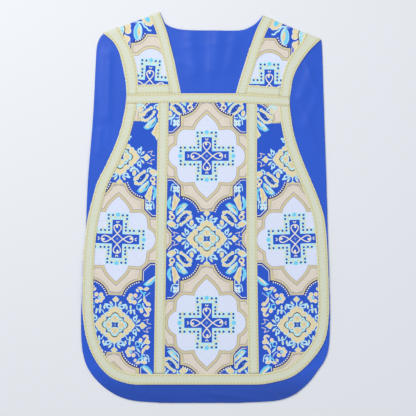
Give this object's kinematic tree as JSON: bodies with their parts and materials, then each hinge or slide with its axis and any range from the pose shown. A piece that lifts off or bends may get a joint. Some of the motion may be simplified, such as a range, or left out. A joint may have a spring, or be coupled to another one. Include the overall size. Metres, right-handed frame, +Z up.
{
  "type": "chasuble",
  "caption": "Roman fiddle-back chasuble laid flat, front up: blue and white cross-and-flower brocade, blue satin lining, pale gold woven braid.",
  "frame": {"origin": "on the surface under the middle of the garment's box", "axes": "+Y towards the neck, +X to the right seen from above, +Z up out of the front's face"},
  "size_m": [0.684, 1.0739, 0.0079],
  "materials": {
    "brocade": "figured blue and white silk brocade with gold thread",
    "lining": "plain royal blue satin, soft sheen",
    "braid": "pale gold flat woven braid with dotted gold edges"
  },
  "bodies": {
    "root": {"back_panel": "brocade", "back_lining": "lining", "front_panel": "brocade", "strap_left": "brocade", "strap_right": "brocade", "braid_chest": "braid", "braid_front_edge": "braid", "braid_pillar_left": "braid", "braid_pillar_right": "braid", "braid_neck_left": "braid", "braid_neck_right": "braid", "braid_armhole_left": "braid", "braid_armhole_right": "braid", "braid_strap_end_left": "braid", "braid_strap_end_right": "braid"}
  },
  "joints": []
}
